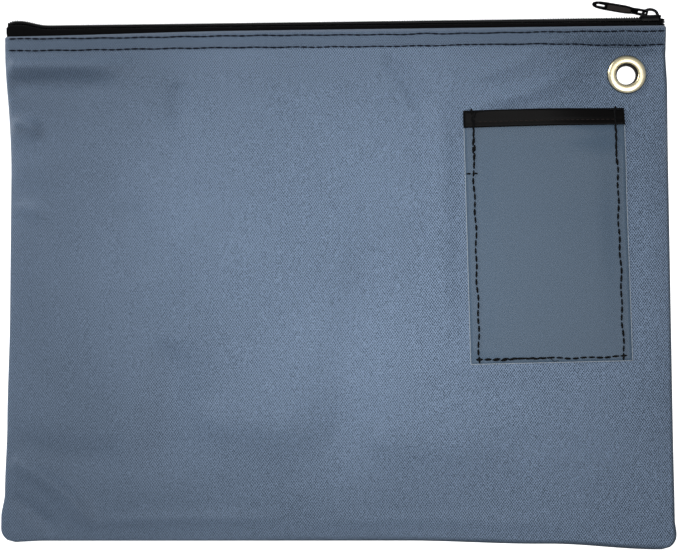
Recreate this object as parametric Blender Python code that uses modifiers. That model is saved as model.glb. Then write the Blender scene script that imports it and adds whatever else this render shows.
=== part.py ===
"""Zipped cash deposit bag lying on its back, zipper edge toward +Y, closed end of the zipper toward +X.

Built in metres, +Z up. The origin is under the middle of the bag, on the flat underside of the back panel.
"""

import math

import bmesh
import bpy
from mathutils import Matrix, Vector
from mathutils.bvhtree import BVHTree

MM = 0.001

# outline of the bag
HALF_LENGTH = 190.5 * MM
BOTTOM_Y = -152.4 * MM
BAND_TOP_Y = 152.4 * MM
FABRIC_TOP_Y = 147.2 * MM
CORNER_RADIUS = 9.0 * MM

# cloth
CLOTH = 0.55 * MM
LAYER_PITCH = 0.8 * MM
SEAM_HALF_GAP = 0.55 * MM
HEM_DEPTH = 12.5 * MM
HEM_FOOT_Y = FABRIC_TOP_Y - HEM_DEPTH

# height of the bag over the table
SEAM_Z_BODY = 1.1 * MM
SEAM_Z_MOUTH = 2.6 * MM
SEAM_RISE_Y = 100 * MM
MOUTH_Z = 6.8 * MM
MOUTH_HALF = 5.9 * MM
BODY_TOP = 9.0 * MM
EDGE_TOP = 2.2 * MM
BACK_LIFT = 0.9 * MM
CORNER_LIFT = 0.6 * MM

# zipper
TAPE = 0.4 * MM
TAPE_MID_Y = 149.7 * MM
TAPE_INNER = 0.8 * MM
TAPE_REACH = 187.5 * MM
TAPE_FOOT_Y = 136.5 * MM
TAPE_DROP_FRONT = 2.4 * MM
TAPE_DROP_BACK = 1.8 * MM
COIL_BOTTOM_Y = 150.2 * MM
COIL_INNER = 0.8 * MM
COIL_OUTER = 2.9 * MM

# slider and pull tab
SLIDER_X = 182.3 * MM
SLIDER_HALF_LENGTH = 6.1 * MM
PLATE_BOTTOM_Y = 152.65 * MM
PLATE_TOP_Y = 153.75 * MM
BAIL_HALF_SPAN = 4.35 * MM
BAIL_RISE = 3.95 * MM
BAIL_WIRE = 0.55 * MM
PULL_AXIS_X = SLIDER_X - 1.7 * MM
PULL_AXIS_Y = PLATE_TOP_Y + 1.8 * MM
PULL_LENGTH = 32.0 * MM
PULL_THICKNESS = 1.0 * MM
PULL_REST_ANGLE = 169.3
PULL_TWIST = 40.0

# grommet
GROMMET_X = 168.8 * MM
GROMMET_Y = 120.5 * MM
GROMMET_BORE = 6.2 * MM
GROMMET_BARREL = 6.7 * MM
GROMMET_FLANGE = 11.2 * MM
CLOTH_HOLE = 7.8 * MM
PINCH_Z = 2.7 * MM
PINCH_FLAT = 12.4 * MM
HEM_CLEAR = 1.05 * MM
PINCH_REACH = 36.0 * MM

# card window
WINDOW_X = 121.6 * MM
WINDOW_Y = 26.9 * MM
WINDOW_WIDTH = 92.2 * MM
WINDOW_HEIGHT = 145.4 * MM
WINDOW_TURN = 1.15
WINDOW_SHEET = 0.4 * MM
BINDING_HEIGHT = 9.8 * MM
BINDING_LEAF = 0.45 * MM
BINDING_SPREAD = 0.9 * MM
SEAM_INSET = 5.2 * MM

# thread
THREAD = 0.25 * MM
THREAD_GAP = 0.3 * MM

for old in list(bpy.data.objects):
    bpy.data.objects.remove(old, do_unlink=True)

bag = bpy.data.collections.new("cash_deposit_bag")
bpy.context.scene.collection.children.link(bag)
cutters = bpy.data.collections.new("cutters")
bpy.context.scene.collection.children.link(cutters)


def colour(hexa):
    """One sRGB hex colour as linear RGBA."""
    out = []
    for k in (0, 2, 4):
        c = int(hexa[k:k + 2], 16) / 255.0
        out.append(c / 12.92 if c <= 0.04045 else ((c + 0.055) / 1.055) ** 2.4)
    return (*out, 1.0)


def material(name, hexa, roughness, metallic=0.0, alpha=1.0):
    """A plain Principled material."""
    mat = bpy.data.materials.new(name)
    mat.use_nodes = True
    shader = mat.node_tree.nodes["Principled BSDF"]
    shader.inputs["Base Color"].default_value = colour(hexa)
    shader.inputs["Roughness"].default_value = roughness
    shader.inputs["Metallic"].default_value = metallic
    shader.inputs["Alpha"].default_value = alpha
    return mat


CLOTH_FRONT = material("bag_fabric_front", "61738a", 0.62)
CLOTH_BACK = material("bag_fabric_back", "5d6f86", 0.62)
TAPE_FRONT = material("zipper_tape_cloth_front", "0b0b0d", 0.8)
TAPE_BACK = material("zipper_tape_cloth_back", "0c0c0e", 0.8)
COIL_FRONT = material("zipper_coil_nylon_front", "101012", 0.4)
COIL_BACK = material("zipper_coil_nylon_back", "111113", 0.4)
SLIDER_PAINT = material("slider_black_enamel", "0d0d0f", 0.35)
TAB_PAINT = material("tab_black_enamel", "1a1a1c", 0.35)
BRASS_TOP = material("grommet_brass", "b9975a", 0.28, 1.0)
BRASS_BACK = material("washer_brass", "b08f55", 0.3, 1.0)
CLEAR = material("clear_vinyl_sheet", "aeb9c4", 0.15, 0.0, 0.35)
BINDING_VINYL = material("black_vinyl_binding", "15120f", 0.4)


def thread_material(name, hexa):
    """Sewing thread of one seam."""
    return material(name, hexa, 0.7)


def finish(name, mesh, mat, smooth=False):
    """Link one mesh as a named object of the bag."""
    obj = bpy.data.objects.new(name, mesh)
    bag.objects.link(obj)
    mesh.materials.append(mat)
    for poly in mesh.polygons:
        poly.use_smooth = smooth
    return obj


def grid(name, rows):
    """Quad mesh over rows of points."""
    bm = bmesh.new()
    net = [[bm.verts.new(p) for p in row] for row in rows]
    for lower, upper in zip(net, net[1:]):
        for k in range(len(lower) - 1):
            bm.faces.new((lower[k], lower[k + 1], upper[k + 1], upper[k]))
    bmesh.ops.recalc_face_normals(bm, faces=bm.faces)
    mesh = bpy.data.meshes.new(name)
    bm.to_mesh(mesh)
    bm.free()
    return mesh


def thicken(obj, thickness):
    """Give a sheet its thickness, equally on both sides."""
    mod = obj.modifiers.new("cloth thickness", "SOLIDIFY")
    mod.thickness = thickness
    mod.offset = 0.0
    mod.use_even_offset = True
    return mod


def prism(name, outline, low, high, axis="Z"):
    """Closed prism: an outline's face, extruded between two heights on one axis."""
    bm = bmesh.new()
    if axis == "Z":
        loop = [bm.verts.new((a, b, low)) for a, b in outline]
        shift = Vector((0.0, 0.0, high - low))
    else:
        loop = [bm.verts.new((a, low, b)) for a, b in outline]
        shift = Vector((0.0, high - low, 0.0))
    face = bm.faces.new(loop)
    raised = bmesh.ops.extrude_face_region(bm, geom=[face], use_keep_orig=True)["geom"]
    bmesh.ops.translate(bm, vec=shift, verts=[v for v in raised if isinstance(v, bmesh.types.BMVert)])
    bmesh.ops.recalc_face_normals(bm, faces=bm.faces)
    mesh = bpy.data.meshes.new(name)
    bm.to_mesh(mesh)
    bm.free()
    return mesh


def turned(name, profile, mat, steps=48):
    """Turned ring: a closed profile of (radius, height) with a Screw modifier about Z."""
    count = len(profile)
    mesh = bpy.data.meshes.new(name)
    mesh.from_pydata([(r, 0.0, z) for r, z in profile], [(k, (k + 1) % count) for k in range(count)], [])
    obj = finish(name, mesh, mat)
    mod = obj.modifiers.new("turned", "SCREW")
    mod.axis = "Z"
    mod.angle = 2.0 * math.pi
    mod.steps = steps
    mod.render_steps = steps
    mod.use_merge_vertices = False
    mod.merge_threshold = 0.00001
    mod.use_normal_calculate = True
    mod.use_smooth_shade = True
    return obj


def wire_curve(name, points, radius):
    """Curve data of a round wire through an open line of points."""
    curve = bpy.data.curves.new(name, "CURVE")
    curve.dimensions = "3D"
    curve.bevel_depth = radius
    curve.bevel_resolution = 1
    curve.use_fill_caps = True
    spline = curve.splines.new("POLY")
    spline.points.add(len(points) - 1)
    for knot, place in zip(spline.points, points):
        knot.co = (*place, 1.0)
    return curve


def thread(name, points, mat):
    """One line of sewing thread."""
    curve = wire_curve(name, points, THREAD)
    curve.materials.append(mat)
    obj = bpy.data.objects.new(name, curve)
    bag.objects.link(obj)
    return obj


def wire_mesh(name, points, radius):
    """Closed mesh of a round wire, its end caps welded on."""
    curve = wire_curve(name, points, radius)
    curve.bevel_resolution = 2
    temporary = bpy.data.objects.new(name, curve)
    cutters.objects.link(temporary)
    bpy.context.view_layer.update()
    evaluated = temporary.evaluated_get(bpy.context.evaluated_depsgraph_get())
    mesh = bpy.data.meshes.new_from_object(evaluated)
    bpy.data.objects.remove(temporary, do_unlink=True)
    bm = bmesh.new()
    bm.from_mesh(mesh)
    bmesh.ops.remove_doubles(bm, verts=bm.verts, dist=0.00001)
    bmesh.ops.recalc_face_normals(bm, faces=bm.faces)
    bm.to_mesh(mesh)
    bm.free()
    return mesh


def helper(name, mesh, owner, operation):
    """A hidden object that cuts or joins its owner."""
    obj = bpy.data.objects.new(name, mesh)
    cutters.objects.link(obj)
    obj.hide_render = True
    obj.display_type = "WIRE"
    mod = owner.modifiers.new(name, "BOOLEAN")
    mod.operation = operation
    mod.solver = "EXACT"
    mod.object = obj
    return obj


def smooth(value, low, high):
    """Smooth rise from 0 to 1 between two limits."""
    t = min(max((value - low) / (high - low), 0.0), 1.0)
    return t * t * (3.0 - 2.0 * t)


def half_width(y):
    """Half length of the bag in one row, rounded at the bottom corners."""
    d = y - BOTTOM_Y
    if d >= CORNER_RADIUS:
        return HALF_LENGTH
    return HALF_LENGTH - CORNER_RADIUS + math.sqrt(CORNER_RADIUS ** 2 - (CORNER_RADIUS - d) ** 2)


def seam_z(y):
    """Height of the side seams."""
    return SEAM_Z_BODY + (SEAM_Z_MOUTH - SEAM_Z_BODY) * smooth(y, SEAM_RISE_Y, 140 * MM)


def front_crest(y):
    """Outer height of the front panel along its middle."""
    d = min((y - BOTTOM_Y) / (75 * MM), 1.0)
    body = EDGE_TOP + (BODY_TOP - EDGE_TOP) * (1.0 - (1.0 - d) ** 2.4)
    return body + (MOUTH_Z + MOUTH_HALF - BODY_TOP) * smooth(y, 50 * MM, 140 * MM)


def corner_lift(x, y):
    """Rise of both panels toward the bottom corners, which curl a little off the table."""
    along = min(max((90 * MM - y) / (240 * MM), 0.0), 1.0)
    return CORNER_LIFT * (x / HALF_LENGTH) ** 2 * along


def back_floor(y):
    """Outer height of the back panel along its middle."""
    return BACK_LIFT * smooth(y, 112 * MM, 133 * MM)


def fullness(y, low):
    """Exponent of the section: round in the body, square at the mouth."""
    t = smooth(y, 40 * MM, 133 * MM)
    return math.exp(math.log(low) * (1.0 - t) + math.log(260.0) * t)


def pinch(x, y, z, front):
    """Draw both panels together round the grommet."""
    r = math.hypot(x - GROMMET_X, y - GROMMET_Y)
    t = min(max((r - PINCH_FLAT) / (PINCH_REACH - PINCH_FLAT), 0.0), 1.0)
    weight = 0.5 + 0.5 * math.cos(math.pi * t)
    weight *= 1.0 - smooth(y, HEM_FOOT_Y, 145.5 * MM)
    rise = smooth(y, 131.4 * MM, 135.4 * MM)
    spread = (0.425 + rise * 2.2) * MM
    target = PINCH_Z + spread if front else max(PINCH_Z - spread, HEM_CLEAR)
    return z + (target - z) * weight


def section(f, y, inset, front):
    """Point of a panel at fraction f of its half width, its middle plane drawn in by inset."""
    a = half_width(y) - inset
    n = fullness(y, 3.6 if front else 40.0)
    s = math.sqrt(max(1.0 - abs(f) ** n, 0.0))
    edge = seam_z(y) + (SEAM_HALF_GAP if front else -SEAM_HALF_GAP)
    far = front_crest(y) - inset if front else back_floor(y) + inset
    z = edge + (far - edge) * s
    return (a * f, y, pinch(a * f, y, z, front) + corner_lift(a * f, y))


EDGE_STEPS = (0.9995, 0.998, 0.994, 0.985)
LEFT_STEPS = (0.955, 0.90, 0.82, 0.70, 0.55, 0.38, 0.19)
RIGHT_STEPS = (0.12, 0.30, 0.46, 0.58, 0.68, 0.735, 0.775, 0.808, 0.835, 0.86, 0.895, 0.925, 0.95, 0.97)
COLUMNS = sorted(
    [-1.0, 1.0] + [-f for f in EDGE_STEPS] + [-f for f in LEFT_STEPS] + list(EDGE_STEPS) + list(RIGHT_STEPS)
)
LOW_STEPS = (0.0, 0.5, 1.6, 3.6, 6.2, 9.0, 16.0, 26.0, 40.0, 58.0, 80.0, 108.0, 140.0)
LOW_ROWS = [BOTTOM_Y + d * MM for d in LOW_STEPS]
MID_STEPS = (20.0, 48.0, 68.0, 82.0, 90.0, 97.0, 103.0, 108.5, 116.0, 124.5, 129.0, 132.0, 133.4)
MID_ROWS = [y * MM for y in MID_STEPS]
HEM_ROWS = [y * MM for y in (134.7, 137.2, 140.5, 143.5, 145.5, 146.4)]


def panel(name, front, mat):
    """One bag panel: body, hem turned over at the mouth and its inner layer."""
    inset = CLOTH / 2.0
    inner = inset + LAYER_PITCH
    rows = []
    for y in LOW_ROWS + MID_ROWS + HEM_ROWS:
        rows.append([section(f, y, inset, front) for f in COLUMNS])
    bend = LAYER_PITCH / 2.0
    for angle in (60.0, 90.0, 120.0):
        a = math.radians(angle)
        drop = inset + bend - bend * math.cos(a)
        y = FABRIC_TOP_Y - inset - bend + bend * math.sin(a)
        rows.append([section(f, y, drop, front) for f in COLUMNS])
    for y in reversed(HEM_ROWS):
        rows.append([section(f, y, inner, front) for f in COLUMNS])
    obj = finish(name, grid(name, rows), mat, True)
    thicken(obj, CLOTH)
    ring = [
        (
            GROMMET_X + CLOTH_HOLE * math.cos(2.0 * math.pi * k / 48),
            GROMMET_Y + CLOTH_HOLE * math.sin(2.0 * math.pi * k / 48),
        )
        for k in range(48)
    ]
    helper(name + "_grommet_hole", prism(name + "_cut", ring, -5 * MM, 20 * MM), obj, "DIFFERENCE")
    return obj


front_panel = panel("front_panel", True, CLOTH_FRONT)
back_panel = panel("back_panel", False, CLOTH_BACK)

bpy.context.view_layer.update()
graph = bpy.context.evaluated_depsgraph_get()
FRONT_SKIN = BVHTree.FromObject(front_panel, graph)
BACK_SKIN = BVHTree.FromObject(back_panel, graph)


def above(x, y):
    """Outer height of the front panel at one place."""
    hit = FRONT_SKIN.ray_cast(Vector((x, y, 50 * MM)), Vector((0, 0, -1)))
    return hit[0].z


def below(x, y):
    """Outer height of the back panel at one place."""
    hit = BACK_SKIN.ray_cast(Vector((x, y, -50 * MM)), Vector((0, 0, 1)))
    return hit[0].z


def tape(name, front, mat):
    """One zipper tape: flat under its coil, then turned down inside the hem."""
    side = 1.0 if front else -1.0
    drop = TAPE_DROP_FRONT if front else TAPE_DROP_BACK
    stations = sorted(set([f * HALF_LENGTH for f in COLUMNS if abs(f) < 0.98] + [-TAPE_REACH, TAPE_REACH]))
    rows = []
    for reach in (TAPE_INNER, 2.6 * MM, 3.4 * MM):
        rows.append([(x, TAPE_MID_Y, MOUTH_Z + side * reach) for x in stations])
    rows.append([(x, TAPE_MID_Y - 0.2 * MM, MOUTH_Z + side * 3.85 * MM) for x in stations])
    rows.append([(x, TAPE_MID_Y - 0.7 * MM, MOUTH_Z + side * 4.1 * MM) for x in stations])
    for y in (147.0 * MM, 145.5 * MM, 143.5 * MM, 140.5 * MM, 138.2 * MM, TAPE_FOOT_Y):
        row = []
        for x in stations:
            z = section(x / HALF_LENGTH, y, 0.0, front)[2]
            row.append((x, y, z - side * drop))
        rows.append(row)
    obj = finish(name, grid(name, rows), mat, True)
    thicken(obj, TAPE)
    return obj


zipper_tape_front = tape("zipper_tape_front", True, TAPE_FRONT)
zipper_tape_back = tape("zipper_tape_back", False, TAPE_BACK)


def coil(name, front, mat):
    """Envelope of one nylon coil, beside the path of the slider's wedge."""
    side = 1.0 if front else -1.0
    z0 = MOUTH_Z + side * COIL_INNER
    z1 = MOUTH_Z + side * COIL_OUTER
    chamfer = 0.5 * MM
    y0 = COIL_BOTTOM_Y
    y1 = BAND_TOP_Y
    mid = (z0 + z1) / 2.0
    cut = side * chamfer
    outline = [
        (y0, z0 + cut),
        (y0, z1 - cut),
        (y0 + chamfer, z1),
        (y1 - chamfer, z1),
        (y1, z1 - cut),
        (y1, mid),
        (y1, z0 + cut),
        (y1 - chamfer, z0),
        (y0 + chamfer, z0),
    ]
    obj = finish(name, prism(name, outline, -TAPE_REACH, TAPE_REACH), mat)
    obj.matrix_world = Matrix(((0, 0, 1, 0), (1, 0, 0, 0), (0, 1, 0, 0), (0, 0, 0, 1)))
    return obj


zipper_coil_front = coil("zipper_coil_front", True, COIL_FRONT)
zipper_coil_back = coil("zipper_coil_back", False, COIL_BACK)


def rounded_box(x0, x1, y0, y1, r, steps=4):
    """Outline of a rectangle with rounded corners."""
    out = []
    middles = ((x1 - r, y1 - r), (x0 + r, y1 - r), (x0 + r, y0 + r), (x1 - r, y0 + r))
    for quarter, (cx, cy) in enumerate(middles):
        start = 90.0 * quarter
        for k in range(steps + 1):
            a = math.radians(start + 90.0 * k / steps)
            out.append((cx + r * math.cos(a), cy + r * math.sin(a)))
    return out


# slider: shoulders toward +X, the outer plate over the coils, the inner plate under the tapes
SHOULDER = 4.2 * MM
TAIL = 3.7 * MM
plate_outline = [
    (-6.1 * MM, -2.6 * MM),
    (-5.6 * MM, -3.4 * MM),
    (-4.6 * MM, -TAIL),
    (0.0, -TAIL),
    (2.4 * MM, -SHOULDER),
    (4.6 * MM, -SHOULDER),
    (5.7 * MM, -3.4 * MM),
    (6.1 * MM, -2.2 * MM),
    (6.1 * MM, 2.2 * MM),
    (5.7 * MM, 3.4 * MM),
    (4.6 * MM, SHOULDER),
    (2.4 * MM, SHOULDER),
    (0.0, TAIL),
    (-4.6 * MM, TAIL),
    (-5.6 * MM, 3.4 * MM),
    (-6.1 * MM, 2.6 * MM),
]
origin_y = PLATE_TOP_Y
slider_body = finish(
    "slider_body",
    prism("slider_body", plate_outline, PLATE_BOTTOM_Y - origin_y, 0.0, "Y"),
    SLIDER_PAINT,
)
inner_outline = [(x * 0.95, z * 0.83) for x, z in plate_outline]
helper(
    "slider_inner_plate",
    prism("slider_inner_plate", inner_outline, 148.1 * MM - origin_y, 149.15 * MM - origin_y, "Y"),
    slider_body,
    "UNION",
)
wedge = [
    (1.4 * MM, 0.0),
    (2.6 * MM, -0.5 * MM),
    (5.2 * MM, -0.5 * MM),
    (5.2 * MM, 0.5 * MM),
    (2.6 * MM, 0.5 * MM),
]
helper(
    "slider_wedge",
    prism("slider_wedge", wedge, 149.0 * MM - origin_y, PLATE_BOTTOM_Y + 0.4 * MM - origin_y, "Y"),
    slider_body,
    "UNION",
)
for label, side in (("front", 1.0), ("back", -1.0)):
    rail = [
        (-5.4 * MM, side * 3.2 * MM),
        (0.3 * MM, side * 3.2 * MM),
        (2.6 * MM, side * 3.55 * MM),
        (4.4 * MM, side * 3.55 * MM),
        (4.4 * MM, side * 4.1 * MM),
        (2.4 * MM, side * 4.1 * MM),
        (-0.1 * MM, side * 3.6 * MM),
        (-5.4 * MM, side * 3.6 * MM),
    ]
    helper(
        "slider_rail_" + label,
        prism(
            "slider_rail_" + label,
            rail,
            150.25 * MM - origin_y,
            PLATE_BOTTOM_Y + 0.4 * MM - origin_y,
            "Y",
        ),
        slider_body,
        "UNION",
    )
arch = []
for k in range(15):
    a = math.radians(-4.0 + 188.0 * k / 14)
    arch.append((BAIL_HALF_SPAN * math.cos(a), BAIL_RISE * math.sin(a), 0.0))
arch[0] = (BAIL_HALF_SPAN, -0.5 * MM, 0.0)
arch[-1] = (-BAIL_HALF_SPAN, -0.5 * MM, 0.0)
helper("slider_bail", wire_mesh("slider_bail", arch, BAIL_WIRE), slider_body, "UNION")
slider_body.location = (SLIDER_X, PLATE_TOP_Y, MOUTH_Z)
for obj in list(cutters.objects):
    if obj.name.startswith("slider_"):
        obj.location = slider_body.location

# pull tab: lengthwise on its own X, its crossbar on the hinge axis
tab_outline = [
    (-0.45 * MM, 1.7 * MM),
    (0.0, 2.1 * MM),
    (6.2 * MM, 2.1 * MM),
    (8.0 * MM, 1.9 * MM),
    (10.0 * MM, 2.3 * MM),
    (13.0 * MM, 2.6 * MM),
    (24.0 * MM, 2.6 * MM),
    (28.5 * MM, 2.3 * MM),
    (31.0 * MM, 1.7 * MM),
    (PULL_LENGTH, 0.8 * MM),
]
tab_outline = [(x, -w) for x, w in tab_outline] + [(x, w) for x, w in reversed(tab_outline)]
half_tab = PULL_THICKNESS / 2.0
pull_tab = finish("pull_tab", prism("pull_tab", tab_outline, -half_tab, half_tab, "Y"), TAB_PAINT)
head_window = rounded_box(0.45 * MM, 6.05 * MM, -1.35 * MM, 1.35 * MM, 0.4 * MM, 2)
tip_slot = rounded_box(24.3 * MM, 29.3 * MM, -0.95 * MM, 0.95 * MM, 0.9 * MM)
head_cut = prism("pull_head", head_window, -3 * MM, 3 * MM, "Y")
tip_cut = prism("pull_tip", tip_slot, -3 * MM, 3 * MM, "Y")
cut_head = helper("pull_head_window", head_cut, pull_tab, "DIFFERENCE")
cut_tip = helper("pull_tip_slot", tip_cut, pull_tab, "DIFFERENCE")
for obj in (pull_tab, cut_head, cut_tip):
    obj.location = (PULL_AXIS_X, PULL_AXIS_Y, MOUTH_Z)
    obj.rotation_euler = (math.radians(PULL_TWIST), 0.0, math.radians(PULL_REST_ANGLE))

# grommet through both panels and its washer under the back one
flange_low = PINCH_Z + 1.0 * MM
flange_high = flange_low + 1.4 * MM
washer_high = PINCH_Z - 1.0 * MM
washer_low = washer_high - 0.6 * MM
lip_high = washer_low - 0.3 * MM
lip_low = lip_high - 0.45 * MM
grommet_profile = [
    (GROMMET_BORE, lip_low + 0.4 * MM),
    (GROMMET_BORE, flange_high - 0.8 * MM),
    (6.5 * MM, flange_high - 0.25 * MM),
    (7.2 * MM, flange_high),
    (9.3 * MM, flange_high),
    (10.6 * MM, flange_high - 0.4 * MM),
    (GROMMET_FLANGE, flange_low + 0.3 * MM),
    (11.0 * MM, flange_low),
    (7.2 * MM, flange_low),
    (GROMMET_BARREL, flange_low - 0.3 * MM),
    (GROMMET_BARREL, lip_high),
    (8.2 * MM, lip_high),
    (8.2 * MM, lip_low + 0.15 * MM),
    (7.9 * MM, lip_low),
    (6.6 * MM, lip_low),
]
grommet = turned("grommet", grommet_profile, BRASS_TOP)
grommet.location = (GROMMET_X, GROMMET_Y, 0.0)
washer_profile = [
    (7.0 * MM, washer_low),
    (7.0 * MM, washer_high),
    (11.0 * MM, washer_high),
    (GROMMET_FLANGE, washer_high - 0.2 * MM),
    (10.6 * MM, washer_low + 0.1 * MM),
    (9.8 * MM, washer_low),
]
grommet_washer = turned("grommet_washer", washer_profile, BRASS_BACK)
grommet_washer.location = (GROMMET_X, GROMMET_Y, 0.0)

# card window on the front panel
TURN = math.radians(WINDOW_TURN)


def on_window(u, v, lift):
    """Place on the card window: u across and v up from its centre, lift over the front panel."""
    x = WINDOW_X + u * math.cos(TURN) - v * math.sin(TURN)
    y = WINDOW_Y + u * math.sin(TURN) + v * math.cos(TURN)
    return (x, y, above(x, y) + lift)


HALF_W = WINDOW_WIDTH / 2.0
HALF_H = WINDOW_HEIGHT / 2.0
SHEET_LOW = 0.5 * MM
SHEET_HIGH = 1.65 * MM
BINDING_V = HALF_H - BINDING_HEIGHT


def sheet_lift(v):
    """Height of the clear sheet's middle plane over the front panel."""
    return SHEET_LOW + (SHEET_HIGH - SHEET_LOW) * smooth(v, BINDING_V - 7 * MM, BINDING_V - 0.8 * MM)


across = [-HALF_W + WINDOW_WIDTH * k / 18 for k in range(19)]
up = [-HALF_H + (BINDING_V - 8 * MM + HALF_H) * k / 12 for k in range(13)]
up += [BINDING_V - 5 * MM, BINDING_V - 2.8 * MM, BINDING_V - 0.6 * MM, BINDING_V + 4 * MM, HALF_H - 1.5 * MM]
rows = [[on_window(u, v, sheet_lift(v)) for u in across] for v in up]
card_window = finish("card_window", grid("card_window", rows), CLEAR, True)
thicken(card_window, WINDOW_SHEET)

leaf_low = SHEET_HIGH - BINDING_SPREAD
leaf_high = SHEET_HIGH + BINDING_SPREAD
path = [(BINDING_V + 8.6 * MM * k / 4, leaf_low) for k in range(5)]
for angle in (-60.0, -30.0, 0.0, 30.0, 60.0):
    a = math.radians(angle)
    path.append((HALF_H - 0.9 * MM + 0.7 * MM * math.cos(a), SHEET_HIGH + BINDING_SPREAD * math.sin(a)))
path += [(BINDING_V + 8.6 * MM * k / 4, leaf_high) for k in range(4, -1, -1)]
rows = [[on_window(u, v, lift) for u in across] for v, lift in path]
window_binding = finish("window_binding", grid("window_binding", rows), BINDING_VINYL, True)
thicken(window_binding, BINDING_LEAF)

on_sheet = WINDOW_SHEET / 2.0 + THREAD_GAP + THREAD
on_leaf = leaf_high + BINDING_LEAF / 2.0 + THREAD_GAP + THREAD


def seam_lift(v):
    """Height of the side and bottom stitching over the front panel."""
    step = smooth(v, BINDING_V - 2.5 * MM, BINDING_V - 1.2 * MM)
    return (sheet_lift(v) + on_sheet) * (1.0 - step) + on_leaf * step


LEFT_U = -HALF_W + SEAM_INSET
RIGHT_U = HALF_W - SEAM_INSET
LOW_V = -HALF_H + 2.4 * MM
side_v = [HALF_H - 1.2 * MM, BINDING_V + 4 * MM, BINDING_V - 1.1 * MM, BINDING_V - 1.8 * MM]
side_v += [BINDING_V - 2.6 * MM, BINDING_V - 5 * MM, BINDING_V - 8 * MM]
side_v += [BINDING_V - 8 * MM + (LOW_V + 1.5 * MM - BINDING_V + 8 * MM) * k / 12 for k in range(1, 13)]
line = [on_window(LEFT_U, v, seam_lift(v)) for v in side_v]
line += [on_window(LEFT_U + 1.5 * MM, LOW_V, seam_lift(LOW_V))]
line += [on_window(LEFT_U + 8 * MM * k, LOW_V, seam_lift(LOW_V)) for k in range(1, 10)]
line += [on_window(RIGHT_U - 1.5 * MM, LOW_V, seam_lift(LOW_V))]
line += [on_window(RIGHT_U, v, seam_lift(v)) for v in reversed(side_v)]
window_seam_stitch = thread("window_seam_stitch", line, thread_material("black_thread_window", "08080a"))
line = [on_window(LEFT_U + 1.2 * MM, BINDING_V + 3.2 * MM, on_leaf)]
for k in range(1, 10):
    line.append(on_window(LEFT_U + (RIGHT_U - LEFT_U) * k / 10, BINDING_V + 3.2 * MM, on_leaf))
line += [on_window(RIGHT_U - 1.2 * MM, BINDING_V + 3.2 * MM, on_leaf)]
binding_thread = thread_material("black_thread_binding", "0b0a0a")
window_binding_stitch = thread("window_binding_stitch", line, binding_thread)

# two rows of topstitching along each hem
for label, front in (("front", True), ("back", False)):
    for row_name, drop in (("upper", 3.2 * MM), ("lower", 10.0 * MM)):
        y = FABRIC_TOP_Y - drop
        line = []
        for k in range(47):
            x = -186.5 * MM + 373.0 * MM * k / 46
            if front:
                line.append((x, y, above(x, y) + THREAD_GAP + THREAD))
            else:
                line.append((x, y, below(x, y) - THREAD_GAP - THREAD))
        name = "hem_stitch_" + row_name + "_" + label
        thread(name, line, thread_material("navy_thread_" + row_name + "_" + label, "172234"))

# closing seams inside the left, right and bottom edges
for label, side in (("left", -1.0), ("right", 1.0)):
    line = []
    for k in range(31):
        y = -142.0 * MM + 284.0 * MM * k / 30
        front_edge = section(side, y, CLOTH / 2.0, True)
        back_edge = section(side, y, CLOTH / 2.0, False)
        x = front_edge[0] - side * 0.25 * MM
        line.append((x, y, (front_edge[2] + back_edge[2]) / 2.0))
    name = "side_seam_" + label
    thread(name, line, thread_material("seam_thread_" + label, "4a586b"))
line = []
for k in range(25):
    x = -180.0 * MM + 360.0 * MM * k / 24
    line.append((x, BOTTOM_Y + 0.45 * MM, SEAM_Z_BODY + corner_lift(x, BOTTOM_Y)))
thread("bottom_seam", line, thread_material("seam_thread_bottom", "4a586b"))
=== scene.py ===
"""Looks of the zipped cash deposit bag, in the CAD model's frame: metres, +Y toward the zipper, +Z up."""

import math

import bmesh
import bpy
import numpy as np
from mathutils import Matrix, Vector
from mathutils.bvhtree import BVHTree


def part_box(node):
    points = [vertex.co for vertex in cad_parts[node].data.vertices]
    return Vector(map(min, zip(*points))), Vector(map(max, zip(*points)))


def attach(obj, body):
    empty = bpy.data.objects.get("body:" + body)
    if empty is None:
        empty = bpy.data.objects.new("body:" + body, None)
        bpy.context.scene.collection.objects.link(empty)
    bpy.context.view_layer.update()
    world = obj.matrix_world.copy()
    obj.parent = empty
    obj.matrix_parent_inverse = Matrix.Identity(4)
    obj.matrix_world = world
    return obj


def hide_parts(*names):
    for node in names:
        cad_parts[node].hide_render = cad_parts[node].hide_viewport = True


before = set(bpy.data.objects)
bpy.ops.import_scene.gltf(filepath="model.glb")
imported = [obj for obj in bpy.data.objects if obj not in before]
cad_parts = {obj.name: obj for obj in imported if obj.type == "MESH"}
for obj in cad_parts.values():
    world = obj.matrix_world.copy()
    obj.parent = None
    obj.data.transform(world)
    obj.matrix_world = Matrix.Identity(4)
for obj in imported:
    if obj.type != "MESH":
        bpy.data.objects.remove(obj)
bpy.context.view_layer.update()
MM = 0.001

# ---------------------------------------------------------------- sizes, from the CAD model
HALF_LENGTH = 190.5
BOTTOM_Y = -152.4
FABRIC_TOP_Y = 147.2
CORNER = 8.0
CLOTH = 0.5
LAYER = 0.8
HEM_FOOT_Y = 134.7
MOUTH_Z = 6.8
MOUTH_HALF = 5.9
PINCH_Z = 2.7
PINCH_FLAT = 12.0
PINCH_REACH = 46.0
HEM_CLEAR = 1.05
SLIDER = (182.3, 153.75, 6.8)
GROMMET = [(a + b) / 2 / MM for a, b in zip(*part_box("grommet"))]
WINDOW_TURN = math.radians(1.15)
WINDOW_MID = (121.6, 26.9)
WINDOW_SIZE = (92.2, 145.4)
BINDING = 9.8
VINYL_SHEET = 0.35
PULL_AXIS = (180.6, 155.55, 6.8)

# sewing: pitch of the stitches, and depth of the two hem rows under the mouth
PITCH = 4.45
STITCH_DROPS = (3.3, 10.2)


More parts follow.
